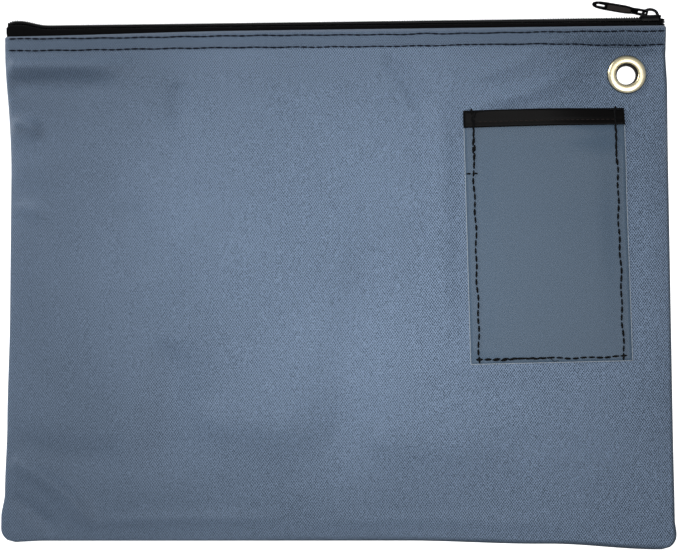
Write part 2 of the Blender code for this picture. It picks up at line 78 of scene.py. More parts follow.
# ---------------------------------------------------------------- small tools
def linear(hexa):
    """sRGB hex colour to linear RGBA."""
    out = []
    for k in (0, 2, 4):
        c = int(hexa[k:k + 2], 16) / 255.0
        out.append(c / 12.92 if c <= 0.04045 else ((c + 0.055) / 1.055) ** 2.4)
    return (*out, 1.0)


def ease(value, low, high):
    """Smooth rise from 0 to 1 between two limits; works on arrays."""
    t = np.clip((value - low) / (high - low), 0.0, 1.0)
    return t * t * (3.0 - 2.0 * t)


def add(tree, kind, links=None, **settings):
    """One node: plain settings are attributes, numbered or named inputs come in links."""
    node = tree.nodes.new(kind)
    for key, value in settings.items():
        setattr(node, key, value)
    for key, value in (links or {}).items():
        socket = node.inputs[key]
        if isinstance(value, bpy.types.NodeSocket):
            tree.links.new(value, socket)
        else:
            socket.default_value = value
    return node


def new_material(name, hexa, roughness, metallic=0.0, **sockets):
    """A Principled material, its uniform values set on the shader's own sockets."""
    mat = bpy.data.materials.new(name)
    mat.use_nodes = True
    shader = mat.node_tree.nodes["Principled BSDF"]
    shader.inputs["Base Color"].default_value = linear(hexa)
    shader.inputs["Roughness"].default_value = roughness
    shader.inputs["Metallic"].default_value = metallic
    for key, value in sockets.items():
        shader.inputs[key.replace("_", " ")].default_value = value
    return mat, mat.node_tree, shader


def put(name, mesh, mat, smooth=True):
    """Link a mesh as a shown piece."""
    obj = bpy.data.objects.new(name, mesh)
    bpy.context.scene.collection.objects.link(obj)
    if mat is not None:
        mesh.materials.clear()
        mesh.materials.append(mat)
    if smooth:
        mesh.shade_smooth()
    return obj


def net_mesh(name, points):
    """Quad mesh from an array of points (rows, columns, 3) in millimetres."""
    rows, cols = points.shape[:2]
    index = np.arange(rows * cols).reshape(rows, cols)
    quads = np.stack([index[:-1, :-1], index[:-1, 1:], index[1:, 1:], index[1:, :-1]], -1).reshape(-1, 4)
    mesh = bpy.data.meshes.new(name)
    mesh.from_pydata((points.reshape(-1, 3) * MM).tolist(), [], quads.tolist())
    mesh.update()
    return mesh


def settle(obj):
    """Apply an object's modifiers for good."""
    graph = bpy.context.evaluated_depsgraph_get()
    mesh = bpy.data.meshes.new_from_object(obj.evaluated_get(graph))
    obj.modifiers.clear()
    obj.data = mesh
    return obj


def outward(mesh, dist=0.000005):
    """Merge doubles and point the faces out."""
    bm = bmesh.new()
    bm.from_mesh(mesh)
    bmesh.ops.remove_doubles(bm, verts=bm.verts, dist=dist)
    bmesh.ops.recalc_face_normals(bm, faces=bm.faces)
    bm.to_mesh(mesh)
    bm.free()


def solid(obj, thickness, offset=0.0, even=True):
    """Give a sheet its thickness in millimetres."""
    mod = obj.modifiers.new("thickness", "SOLIDIFY")
    mod.thickness = thickness * MM
    mod.offset = offset
    mod.use_even_offset = even
    return settle(obj)


def rod(name, points, radius, mat, sides=8, squash=1.0, guide=(0, 0, 1)):
    """Closed round bar through points in millimetres; radius may be a list."""
    bm = bmesh.new()
    path = [Vector(p) * MM for p in points]
    radii = radius if hasattr(radius, "__len__") else [radius] * len(path)
    rings = []
    for k, here in enumerate(path):
        along = (path[min(k + 1, len(path) - 1)] - path[max(k - 1, 0)]).normalized()
        up = Vector(guide)
        up = (up - along * up.dot(along)).normalized()
        across = along.cross(up)
        ring = []
        for s in range(sides):
            a = 2.0 * math.pi * s / sides
            r = radii[k] * MM
            ring.append(bm.verts.new(here + up * math.cos(a) * r * squash + across * math.sin(a) * r))
        rings.append(ring)
    for one, two in zip(rings, rings[1:]):
        for s in range(sides):
            n = (s + 1) % sides
            bm.faces.new((one[s], one[n], two[n], two[s]))
    bm.faces.new(rings[0])
    bm.faces.new(rings[-1])
    bmesh.ops.recalc_face_normals(bm, faces=bm.faces)
    mesh = bpy.data.meshes.new(name)
    bm.to_mesh(mesh)
    bm.free()
    return put(name, mesh, mat)


def plate(name, outline, low, high, bevel=0.0, segments=2):
    """Mesh of a plate over an outline in millimetres, with rounded edges."""
    bm = bmesh.new()
    loop = [bm.verts.new((a * MM, b * MM, low * MM)) for a, b in outline]
    face = bm.faces.new(loop)
    raised = bmesh.ops.extrude_face_region(bm, geom=[face], use_keep_orig=True)["geom"]
    lift = Vector((0, 0, (high - low) * MM))
    bmesh.ops.translate(bm, vec=lift, verts=[v for v in raised if isinstance(v, bmesh.types.BMVert)])
    bmesh.ops.recalc_face_normals(bm, faces=bm.faces)
    if bevel:
        edges = [e for e in bm.edges if abs(e.verts[0].co.z - e.verts[1].co.z) < 1e-9]
        bmesh.ops.bevel(bm, geom=edges, offset=bevel * MM, segments=segments, affect="EDGES", profile=0.5)
    mesh = bpy.data.meshes.new(name)
    bm.to_mesh(mesh)
    bm.free()
    return mesh


def turned(name, profile, mat, centre, steps=96):
    """Ring turned about a vertical axis from a closed profile of (radius, height) in millimetres."""
    count = len(profile)
    mesh = bpy.data.meshes.new(name)
    edges = [(k, (k + 1) % count) for k in range(count)]
    mesh.from_pydata([(r * MM, 0.0, z * MM) for r, z in profile], edges, [])
    obj = put(name, mesh, mat)
    mod = obj.modifiers.new("turned", "SCREW")
    mod.axis = "Z"
    mod.steps = steps
    mod.render_steps = steps
    mod.use_merge_vertices = False
    mod.merge_threshold = 0.000001
    settle(obj)
    outward(obj.data)
    obj.data.transform(Matrix.Translation((centre[0] * MM, centre[1] * MM, 0.0)))
    obj.data.materials.clear()
    obj.data.materials.append(mat)
    obj.data.shade_smooth()
    return obj


def join(name, parts, mat):
    """One piece from several closed meshes given with their placing matrices."""
    bm = bmesh.new()
    for mesh, place in parts:
        copy = mesh.copy()
        copy.transform(place)
        bm.from_mesh(copy)
        bpy.data.meshes.remove(copy)
    bmesh.ops.recalc_face_normals(bm, faces=bm.faces)
    mesh = bpy.data.meshes.new(name)
    bm.to_mesh(mesh)
    bm.free()
    return put(name, mesh, mat)


# ---------------------------------------------------------------- materials
def noise(tree, place, scale, detail):
    """Noise over the object's own coordinates; scale is in cells per metre."""
    links = {"Vector": place.outputs["Object"], "Scale": scale, "Detail": detail}
    return add(tree, "ShaderNodeTexNoise", links).outputs[0]


def spread(tree, value, low, high, to_low, to_high):
    """A value's range mapped to another range."""
    links = {0: value, 1: low, 2: high, 3: to_low, 4: to_high}
    return add(tree, "ShaderNodeMapRange", links).outputs[0]


def blend(tree, factor, one, two):
    """Mix of two colours; each is an output socket or a linear colour."""
    node = add(tree, "ShaderNodeMix", data_type="RGBA")
    tree.links.new(factor, node.inputs[0])
    for socket, value in ((node.inputs[6], one), (node.inputs[7], two)):
        if isinstance(value, bpy.types.NodeSocket):
            tree.links.new(value, socket)
        else:
            socket.default_value = value
    return node.outputs[2]


def emboss(tree, shader, height, strength, depth):
    """Bump from a height field; depth is in millimetres."""
    node = add(tree, "ShaderNodeBump", {"Strength": strength, "Distance": depth * MM, "Height": height})
    tree.links.new(node.outputs[0], shader.inputs["Normal"])


def weave(tree, pitch_x, pitch_y):
    """Plain-weave height from thread pitches in millimetres: warp and weft pass over each other in turn."""
    place = add(tree, "ShaderNodeTexCoord")
    split = add(tree, "ShaderNodeSeparateXYZ", {0: place.outputs["Object"]})
    wob = noise(tree, place, 90.0, 1.0)
    waves = []
    for axis, pitch in (("X", pitch_x), ("Y", pitch_y)):
        per_metre = math.pi / (pitch * MM)
        scaled = add(tree, "ShaderNodeMath", {0: split.outputs[axis], 1: per_metre}, operation="MULTIPLY")
        bent = add(tree, "ShaderNodeMath", {0: wob, 1: 2.6, 2: scaled.outputs[0]}, operation="MULTIPLY_ADD")
        waves.append(add(tree, "ShaderNodeMath", {0: bent.outputs[0]}, operation="SINE"))
    both = add(tree, "ShaderNodeMath", {0: waves[0].outputs[0], 1: waves[1].outputs[0]}, operation="MULTIPLY")
    return place, both.outputs[0]


def nylon_duck(name, hexa_thread, hexa_gap, hexa_highlight):
    """Coated nylon duck: matt, slightly filled plain weave, with a painted highlight where the cloth is folded
    over.
    """
    mat, tree, shader = new_material(name, hexa_thread, 0.58, Specular_IOR_Level=0.35)
    # thread pitch 0.62 x 1.0 mm, the finer one drawn at 0.72 mm so that it shows
    place, field = weave(tree, 0.72, 1.0)
    threads = spread(tree, field, -1.0, 1.0, -0.7, 0.7)
    # single threads differ, in specks of about 0.7 mm
    specks = spread(tree, noise(tree, place, 1500.0, 0.0), 0.2, 0.8, -0.4, 0.4)
    rough = add(tree, "ShaderNodeMath", {0: threads, 1: specks}, operation="ADD").outputs[0]
    # the coating fills the weave more toward the left end
    split = add(tree, "ShaderNodeSeparateXYZ", {0: place.outputs["Object"]})
    depth = spread(tree, split.outputs["X"], -0.16, 0.16, 0.42, 1.15)
    level = add(tree, "ShaderNodeMath", {0: rough, 1: depth, 2: 0.5}, operation="MULTIPLY_ADD").outputs[0]
    # the coating's tone drifts in patches of about 0.1 m
    patch = noise(tree, place, 9.0, 3.0)
    tone = add(tree, "ShaderNodeMath", {0: patch, 1: 0.35, 2: level}, operation="MULTIPLY_ADD").outputs[0]
    woven = blend(tree, spread(tree, tone, 0.2, 1.0, 0.0, 1.0), linear(hexa_gap), linear(hexa_thread))
    # painted highlight along the folded hem; painted shade at the stitched edges and over the left and lower
    # parts, and the hem darker
    fold = add(tree, "ShaderNodeAttribute", attribute_name="fold").outputs["Fac"]
    edge = add(tree, "ShaderNodeAttribute", attribute_name="edge").outputs["Fac"]
    folded = blend(tree, fold, woven, linear(hexa_highlight))
    tree.links.new(blend(tree, edge, folded, linear(hexa_gap)), shader.inputs["Base Color"])
    emboss(tree, shader, level, 0.8, 0.16)
    return mat


CLOTH_FRONT = nylon_duck("nylon_duck_front", "75879f", "2b3947", "747e8e")
CLOTH_BACK = nylon_duck("nylon_duck_back", "71859b", "293846", "707b8a")


def sewing_thread(name, hexa):
    """Bonded polyester sewing thread: twisted plies with a slight wax sheen."""
    mat, tree, shader = new_material(name, hexa, 0.6, Specular_IOR_Level=0.12)
    place = add(tree, "ShaderNodeTexCoord")
    ply = add(
        tree,
        "ShaderNodeTexWave",
        {"Vector": place.outputs["Object"], "Scale": 900.0, "Distortion": 1.0},
        bands_direction="DIAGONAL",
    )
    emboss(tree, shader, ply.outputs[1], 0.4, 0.08)
    return mat


NAVY_THREAD = sewing_thread("navy_bonded_thread", "060d1a")
BLACK_THREAD = sewing_thread("black_bonded_thread", "040405")
# brown-black thread, a little lighter than the binding, so that its stitch row shows painted glints
BINDING_THREAD_GLINT = sewing_thread("brown_black_thread_painted_glint", "221b19")
SEAM_THREAD = sewing_thread("blue_grey_seam_thread", "4a586b")


def polyester_tape(name):
    """Woven zipper tape: black polyester twill with fine ribs along it."""
    mat, tree, shader = new_material(name, "040405", 0.8, Specular_IOR_Level=0.08)
    # rib pitch 0.55 mm
    emboss(tree, shader, weave(tree, 0.55, 0.55)[1], 0.7, 0.1)
    return mat


TAPE_CLOTH = polyester_tape("black_polyester_tape")


def coil_nylon(name):
    """Drawn nylon monofilament: smooth, with a soft plastic gloss and faint drawing lines."""
    mat, tree, shader = new_material(name, "040405", 0.36, IOR=1.53, Specular_IOR_Level=0.16)
    place = add(tree, "ShaderNodeTexCoord")
    emboss(tree, shader, noise(tree, place, 2200.0, 1.0), 0.15, 0.03)
    return mat


COIL_NYLON = coil_nylon("black_nylon_monofilament")


def enamel(name, hexa, roughness):
    """Baked enamel on die-cast zinc: glossy with faint orange peel, slightly uneven gloss."""
    mat, tree, shader = new_material(name, hexa, roughness, Specular_IOR_Level=0.1)
    place = add(tree, "ShaderNodeTexCoord")
    peel = noise(tree, place, 700.0, 2.0)
    emboss(tree, shader, peel, 0.25, 0.04)
    gloss = spread(tree, peel, 0.3, 0.7, roughness - 0.06, roughness + 0.08)
    tree.links.new(gloss, shader.inputs["Roughness"])
    return mat


SLIDER_ENAMEL = enamel("black_enamel_slider", "040405", 0.3)
TAB_ENAMEL = enamel("black_enamel_tab", "040405", 0.3)
TAB_FACE = enamel("tab_recess_grey", "3d3836", 0.45)


def rolled_brass(name):
    """Rolled and pressed brass: warm and bright, with a slightly duller patina in patches."""
    mat, tree, shader = new_material(name, "f6e6b8", 0.2, 1.0)
    place = add(tree, "ShaderNodeTexCoord")
    patch = noise(tree, place, 70.0, 2.0)
    patina = blend(tree, spread(tree, patch, 0.4, 0.75, 0.0, 1.0), linear("fff3cf"), linear("f3dfa6"))
    tree.links.new(patina, shader.inputs["Base Color"])
    tree.links.new(spread(tree, patch, 0.3, 0.8, 0.28, 0.38), shader.inputs["Roughness"])
    return mat


BRASS = rolled_brass("rolled_brass")
# near-black painted shade for the grommet's throat, outer rim and underside, where the brass is seen in shade
THROAT_SHADE = new_material("grommet_painted_shade", "120e07", 0.7, 0.0, Specular_IOR_Level=0.1)[0]


def clear_vinyl(name):
    """Clear flexible vinyl sheet: glossy, faintly smoky, slightly rippled."""
    mat, tree, shader = new_material(name, "596c7f", 0.26, IOR=1.53, Alpha=0.45, Specular_IOR_Level=0.2)
    place = add(tree, "ShaderNodeTexCoord")
    # ripples 22 mm apart
    emboss(tree, shader, noise(tree, place, 45.0, 2.0), 0.12, 0.6)
    return mat


VINYL = clear_vinyl("clear_vinyl")
# cut edge of the vinyl, which scatters light and looks milky
VINYL_EDGE = new_material("milky_vinyl_edge", "c3ccd4", 0.3, Alpha=0.4)[0]


def vinyl_binding(name):
    """Black vinyl binding tape: calendered, soft sheen, fine leather-like grain."""
    mat, tree, shader = new_material(name, "030202", 0.42, IOR=1.53, Specular_IOR_Level=0.08)
    place = add(tree, "ShaderNodeTexCoord")
    # grain cells 0.9 mm
    grain = add(tree, "ShaderNodeTexVoronoi", {"Vector": place.outputs["Object"], "Scale": 1100.0})
    emboss(tree, shader, grain.outputs[0], 0.3, 0.06)
    return mat


BINDING_VINYL = vinyl_binding("black_vinyl_binding")


# ---------------------------------------------------------------- shape of the cloth
def half_width(y):
    """Half length of the bag in a row, rounded at the bottom corners."""
    d = np.clip(y - BOTTOM_Y, 0.0, CORNER)
    return HALF_LENGTH - CORNER + np.sqrt(CORNER ** 2 - (CORNER - d) ** 2)


def seam_z(y):
    """Height of the side seams."""
    return 1.1 + (MOUTH_Z - 1.1) * ease(y, 100, 140)


def crest(y):
    """Outer height of the front along its middle."""
    d = np.clip((y - BOTTOM_Y) / 75.0, 0.0, 1.0)
    return 2.2 + 6.8 * (1.0 - (1.0 - d) ** 2.4) + (MOUTH_Z + MOUTH_HALF - 9.0) * ease(y, 50, 140)


def floor_z(y):
    """Outer height of the back along its middle."""
    return 0.9 * ease(y, 112, 133)


def fold_at(x, y, x0, y0, x1, y1, bow, wide):
    """Height of a soft fold of unit size: it bows sideways, tapers to nothing and widens along its run."""
    dx, dy = x1 - x0, y1 - y0
    length = math.hypot(dx, dy)
    t = ((x - x0) * dx + (y - y0) * dy) / length ** 2
    off = ((y - y0) * dx - (x - x0) * dy) / length - bow * 4.0 * np.clip(t, 0, 1) * (1.0 - np.clip(t, 0, 1))
    reach = wide * (1.0 + 0.5 * np.clip(t, 0.0, 1.0))
    ends = ease(t, -0.12, 0.12) * (1.0 - ease(t, 0.7, 1.12))
    return np.exp(-(off / reach) ** 2) * ends


# soft folds pressed into the front: ends, sideways bow, width and height in millimetres
FOLDS = (
    (-190, 129, -118, 127, 0.8, 4.2, 4.6),
    (-188, 119, -128, 116, 2.0, 5.0, -2.8),
    (-192, 94, -170, 89, 2.0, 3.2, 4.2),
    (-192, 44, -168, 39, 2.0, 3.2, 4.0),
    (-192, 66, -160, 62, 2.0, 7.0, 1.5),
    (-52, 90, -52, -100, -6.0, 30.0, 3.6),
    (20, 32, -6, -118, 4.0, 13.0, -3.4),
    (-96, -40, -104, -116, 6.0, 12.0, -4.4),
    (-192, -104, -137, -146, 6.0, 3.6, 5.2),
    (-186, -94, -118, -104, -4.0, 8.0, -3.0),
    (-186, -126, -158, -150, 2.0, 3.6, -3.0),
    (-76, -80, -2, -84, -3.0, 10.0, 3.6),
    (20, -92, 96, -94, -3.0, 9.0, 2.4),
    (-130, -141, -30, -140, 1.0, 3.0, 1.6),
    (0, -141, 150, -142, 1.0, 3.4, 1.1),
    (60, 102, 61, -56, 0.0, 6.0, 2.6),
    (66, -50, 118, -54, 0.0, 6.0, 1.6),
    (88, 104, 146, 127, -4.0, 3.8, 3.4),
    (80, 118, 118, 134, -2.0, 3.2, 1.8),
    (30, 130, 54, 96, 2.0, 3.8, -2.6),
    (-91, 116, -90, 90, 0.0, 5.0, -2.6),
    (-122, 44, -110, 0, 3.0, 10.0, -1.8),
    (104, -72, 156, -132, 4.0, 14.0, 2.0),
    (180, 66, 182, -80, 0.0, 5.0, 1.6),
)


def relief(x, y):
    """Small soft unevenness of the limp front cloth."""
    z = np.zeros_like(x)
    for x0, y0, x1, y1, bow, wide, high in FOLDS:
        z += high * fold_at(x, y, x0, y0, x1, y1, bow, wide)
    z += 1.0 * np.exp(-((x + 10) / 95.0) ** 2 - ((y - 45) / 70.0) ** 2)
    z -= 0.8 * np.exp(-((x + 140) / 40.0) ** 2 - ((y + 60) / 60.0) ** 2)
    z += 0.3 * np.sin(x / 17.0 + 1.3 * np.sin(y / 31.0)) * np.sin(y / 23.0 + 0.7)
    keep = ease(y, BOTTOM_Y, BOTTOM_Y + 14) * (1.0 - ease(y, 129, 137))
    edge = ease(HALF_LENGTH - np.abs(x), 0.0, 6.0)
    return z * keep * edge


def section(f, y, drop, front):
    """Point of a panel at fraction f of its half width; drop is the depth under the outer surface."""
    a = half_width(y) - drop
    t = ease(y, 40, 133)
    full = np.exp(np.log(3.6 if front else 40.0) * (1.0 - t) + math.log(200.0) * t)
    s = np.sqrt(np.clip(1.0 - np.abs(f) ** full, 0.0, 1.0))
    edge = seam_z(y) + (0.3 if front else -0.3)
    far = crest(y) - drop if front else floor_z(y) + drop
    x = a * f
    z = edge + (far - edge) * s
    if front:
        z = z + relief(x, y) * s
    r = np.hypot(x - GROMMET[0], y - GROMMET[1])
    # the panels are drawn together round the grommet
    weight = 0.5 + 0.5 * np.cos(math.pi * np.clip((r - PINCH_FLAT) / PINCH_REACH, 0.0, 1.0) ** 0.8)
    weight = weight * (1.0 - ease(y, HEM_FOOT_Y, 145.5))
    gap = 0.4 + 2.2 * ease(y, 132.0, 135.6)
    target = PINCH_Z + gap if front else np.maximum(PINCH_Z - gap, HEM_CLEAR)
    z = z + (target - z) * weight
    return outline(x, y, z)


def outline(x, y, z):
    """The limp outline: sides draw in at mid height, bottom corners stand out."""
    low = np.clip((FABRIC_TOP_Y - y) / (FABRIC_TOP_Y - BOTTOM_Y), 0.0, 1.0)
    left = -2.7 * ease(y, 62, 150) - 1.0 * ease(-y, 20, 80)
    left -= 1.0 * ease(-y, 85, 122) + 2.0 * ease(-y, 124, 138)
    right = 0.7 + 0.9 * (1.0 - ease(y, 112, 134)) + 0.2 * ease(-y, 90, 128) + 0.8 * ease(-y, 136, 144)
    side = np.clip(0.5 + 0.5 * x / HALF_LENGTH, 0.0, 1.0)
    shift = left * (1.0 - side) ** 3 + right * side ** 3
    sink = 0.1 * ease(y, 60, 130) + 1.7 * ease(-x, 50, 185) * ease(y, 60, 130)
    rise = 5.6 - 1.8 * ease(x, 40, 113) - 3.2 * ease(x, 120, 180) - 0.9 * ease(-x, 165, 188)
    return np.stack([x + shift, y + rise * low ** 1.2 - sink, z], -1)


def spread_columns(count):
    """Fractions from -1 to 1, closer together at the sides."""
    u = np.linspace(-1.0, 1.0, count)
    return np.sign(u) * (1.0 - (1.0 - np.abs(u)) ** 1.45)


TUCKS = 3
# painted highlight on the rounded fold at the mouth: how far its colour is lightened
FOLD_HIGHLIGHT = 0.75
CLOTH_HOLE = 8.6
COLUMNS = spread_columns(181)
LOW = BOTTOM_Y + (134.0 - BOTTOM_Y) * np.linspace(0.0, 1.0, 140) ** 1.1
HIGH = np.linspace(134.7, FABRIC_TOP_Y - 0.75, 19)


def tucked(points, sign):
    """Seam allowance folded inside the two sides and the foot of a panel."""
    tucks = []
    for inward, rise in ((0.35, -0.18), (1.0, -0.22), (2.2, -0.05)):
        one, two = points[:, :1].copy(), points[:, -1:].copy()
        one[..., 0] += inward
        two[..., 0] -= inward
        one[..., 2] += sign * rise
        two[..., 2] += sign * rise
        tucks.append((one, two))
    points = np.concatenate([t[0] for t in reversed(tucks)] + [points] + [t[1] for t in tucks], axis=1)
    lower = []
    for inward, rise in ((2.2, -0.05), (1.0, -0.22), (0.35, -0.18)):
        row = points[:1].copy()
        row[..., 1] += inward
        row[..., 2] += sign * rise
        lower.append(row)
    return np.concatenate(lower + [points], axis=0)


def edge_shade(points):
    """How dark the cloth is painted: painted shade along the rolled edges and over the left and lower parts, and
    the hem darker.
    """
    across, up = points[..., 0], points[..., 1]
    # painted shade where the cloth rolls down at the sides and the foot, stronger toward the right end
    near_side = np.minimum(across - points[:, TUCKS:TUCKS + 1, 0], points[:, -TUCKS - 1:-TUCKS, 0] - across)
    near_base = up - points[TUCKS:TUCKS + 1, :, 1]
    rim = 1.0 - ease(np.minimum(near_side, near_base), 0.5, 2.0)
    rim = 0.95 * rim * (0.2 + 0.8 * ease(across, -110, 40))
    # painted shade over the left end, the upper left, and the lower left and middle
    left_low_shade = 0.11 * ease(-across, 20, 150) + 0.09 * ease(-across, 80, 150) * ease(up, 60, 120)
    left_low_shade += 0.14 * ease(-up, 40, 120) * (1.0 - ease(across, 20, 120))
    return np.maximum(rim, np.maximum(left_low_shade, 0.34 * ease(up, 135.0, 137.5)))


def panel(name, front, mat):
    """One limp panel: body, hem folded in at the mouth, and the seam allowance tucked in at the sides."""
    inset = CLOTH / 2
    bend = LAYER / 2
    sign = 1.0 if front else -1.0
    rows = []
    fold = [0.0] * TUCKS
    for y in np.concatenate([LOW, HIGH]):
        row = section(COLUMNS, np.full_like(COLUMNS, y), inset, front)
        for drop in STITCH_DROPS:
            dent = 0.22 * math.exp(-((FABRIC_TOP_Y - drop - y) / 0.8) ** 2)
            row[:, 2] -= sign * dent
        rows.append(row)
        fold.append(FOLD_HIGHLIGHT * float(ease(y, FABRIC_TOP_Y - 1.9, FABRIC_TOP_Y - 0.8)))
    for angle in (45, 68, 90, 112, 135):
        a = math.radians(angle)
        y = FABRIC_TOP_Y - inset - bend + bend * math.sin(a)
        rows.append(section(COLUMNS, np.full_like(COLUMNS, y), inset + bend - bend * math.cos(a), front))
        fold.append(FOLD_HIGHLIGHT)
    for y in (146.3, 144.0, 141.0, 138.0, 134.9):
        rows.append(section(COLUMNS, np.full_like(COLUMNS, y), inset + LAYER, front))
        fold.append(0.0)
    points = tucked(np.array(rows), sign)
    mesh = net_mesh(name, points)
    shades = {"fold": np.repeat(fold, points.shape[1]), "edge": edge_shade(points).ravel()}
    for label, values in shades.items():
        layer = mesh.attributes.new(label, "FLOAT", "POINT")
        layer.data.foreach_set("value", values.astype(np.float32))
    bm = bmesh.new()
    bm.from_mesh(mesh)
    hole = []
    for f in bm.faces:
        c = f.calc_center_median() / MM
        if math.hypot(c.x - GROMMET[0], c.y - GROMMET[1]) < CLOTH_HOLE:
            hole.append(f)
    bmesh.ops.delete(bm, geom=hole, context="FACES")
    if not front:
        bmesh.ops.reverse_faces(bm, faces=bm.faces)
    bm.to_mesh(mesh)
    bm.free()
    return put(name, mesh, mat)


front_cloth = panel("front_cloth", True, CLOTH_FRONT)
back_cloth = panel("back_cloth", False, CLOTH_BACK)
for cloth in (front_cloth, back_cloth):
    solid(cloth, CLOTH, 0.0, False)


def skin(obj):
    """Search tree over a finished piece."""
    return BVHTree.FromObject(obj, bpy.context.evaluated_depsgraph_get())


bpy.context.view_layer.update()
FRONT_SKIN = skin(front_cloth)
BACK_SKIN = skin(back_cloth)


def above(x, y, tree=FRONT_SKIN):
    """Height of the front cloth, in millimetres."""
    hit = tree.ray_cast(Vector((x * MM, y * MM, 0.05)), Vector((0, 0, -1)))
    return hit[0].z / MM if hit[0] else 2.0


def below(x, y):
    """Height of the back cloth's underside, in millimetres."""
    hit = BACK_SKIN.ray_cast(Vector((x * MM, y * MM, -0.05)), Vector((0, 0, 1)))
    return hit[0].z / MM if hit[0] else 0.0


# ---------------------------------------------------------------- repeated pieces, by geometry nodes
def node_group(name, inputs):
    """Empty geometry node group with a geometry input, named number inputs and a geometry output."""
    group = bpy.data.node_groups.new(name, "GeometryNodeTree")
    group.interface.new_socket("Geometry", in_out="INPUT", socket_type="NodeSocketGeometry")
    for label, kind in inputs:
        group.interface.new_socket(label, in_out="INPUT", socket_type=kind)
    group.interface.new_socket("Geometry", in_out="OUTPUT", socket_type="NodeSocketGeometry")
    return group, add(group, "NodeGroupInput"), add(group, "NodeGroupOutput")


def closed_group(group, placed, mat, out):
    """Instances made real, given their material and sent to the group's output."""
    real = add(group, "GeometryNodeRealizeInstances", {0: placed.outputs[0]})
    done = add(group, "GeometryNodeSetMaterial", {"Geometry": real.outputs[0], "Material": mat})
    group.links.new(done.outputs[0], out.inputs[0])
    return group


def stitch_tree():
    """Stitches along a line: one plump bead of thread for each pitch, its ends dipping into the cloth."""
    kinds = (("Pitch", "NodeSocketFloat"), ("Length", "NodeSocketFloat"), ("Radius", "NodeSocketFloat"))
    kinds += (("Seed", "NodeSocketInt"), ("Thread", "NodeSocketMaterial"))
    group, given, out = node_group("stitches", kinds)
    curve = add(group, "GeometryNodeMeshToCurve", {0: given.outputs["Geometry"]})
    spaced = {"Curve": curve.outputs[0], "Length": given.outputs["Pitch"]}
    points = add(group, "GeometryNodeResampleCurve", spaced, mode="LENGTH")
    bead = add(group, "GeometryNodeMeshUVSphere", {"Segments": 8, "Rings": 8, "Radius": 1.0})
    size = add(group, "ShaderNodeCombineXYZ")
    half = add(group, "ShaderNodeMath", {0: given.outputs["Length"], 1: 0.5}, operation="MULTIPLY")
    group.links.new(given.outputs["Radius"], size.inputs[0])
    group.links.new(given.outputs["Radius"], size.inputs[1])
    group.links.new(half.outputs[0], size.inputs[2])
    shaped = add(group, "GeometryNodeTransform", {"Geometry": bead.outputs[0], "Scale": size.outputs[0]})
    tangent = add(group, "GeometryNodeInputTangent")
    turn = add(group, "FunctionNodeAlignRotationToVector", {"Vector": tangent.outputs[0]}, axis="Z")
    vary = add(group, "FunctionNodeRandomValue", {"Seed": given.outputs["Seed"]}, data_type="FLOAT_VECTOR")
    vary.inputs[0].default_value = (0.9, 0.9, 0.93)
    vary.inputs[1].default_value = (1.1, 1.1, 1.03)
    placing = {"Points": points.outputs[0], "Instance": shaped.outputs[0]}
    placing.update({"Rotation": turn.outputs[0], "Scale": vary.outputs[0]})
    placed = add(group, "GeometryNodeInstanceOnPoints", placing)
    return closed_group(group, placed, given.outputs["Thread"], out)


STITCHES = stitch_tree()


def run_nodes(name, base, group, values):
    """Run a node group on a mesh and keep its result as a plain mesh."""
    obj = bpy.data.objects.new(name, base)
    bpy.context.scene.collection.objects.link(obj)
    mod = obj.modifiers.new("made", "NODES")
    mod.node_group = group
    for item in group.interface.items_tree:
        if item.in_out == "INPUT" and item.name in values:
            mod[item.identifier] = values[item.name]
    bpy.context.view_layer.update()
    settle(obj)
    obj.data.shade_smooth()
    return obj


def line_mesh(name, lines):
    """Mesh of open lines through points in millimetres."""
    verts = []
    edges = []
    for line in lines:
        start = len(verts)
        verts += [tuple(c * MM for c in p) for p in line]
        edges += [(start + k, start + k + 1) for k in range(len(line) - 1)]
    mesh = bpy.data.meshes.new(name)
    mesh.from_pydata(verts, edges, [])
    return mesh


def sew(name, lines, mat, seed, radius=0.3, length=4.1, pitch=PITCH):
    """A seam's visible stitches."""
    values = {"Pitch": pitch * MM, "Length": length * MM, "Radius": radius * MM, "Seed": seed, "Thread": mat}
    return run_nodes(name, line_mesh(name, lines), STITCHES, values)


def on_cloth(x, y, front, lift):
    """Point over the cloth of one side."""
    return (x, y, above(x, y) + lift) if front else (x, y, below(x, y) - lift)


for label, front in (("front", True), ("back", False)):
    for row, drop in zip(("upper", "lower"), STITCH_DROPS):
        y = FABRIC_TOP_Y - drop
        line = []
        for k in range(190):
            x = -187.6 + 375.2 * k / 189
            sway = 0.2 * math.sin(x / 29.0 + drop) + 0.14 * math.sin(x / 3.7 + 2 * drop)
            sway += 0.35 * math.exp(-((x - 40.0 - 4 * drop) / 7.0) ** 2)
            line.append(on_cloth(x, y + sway, front, 0.12))
        name = "hem_stitches_" + row + "_" + label
        piece = sew(name, [line], NAVY_THREAD, 3 + int(drop) + (20 if front else 0), 0.5, 4.4)
        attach(piece, "bag")
        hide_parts("hem_stitch_" + row + "_" + label)

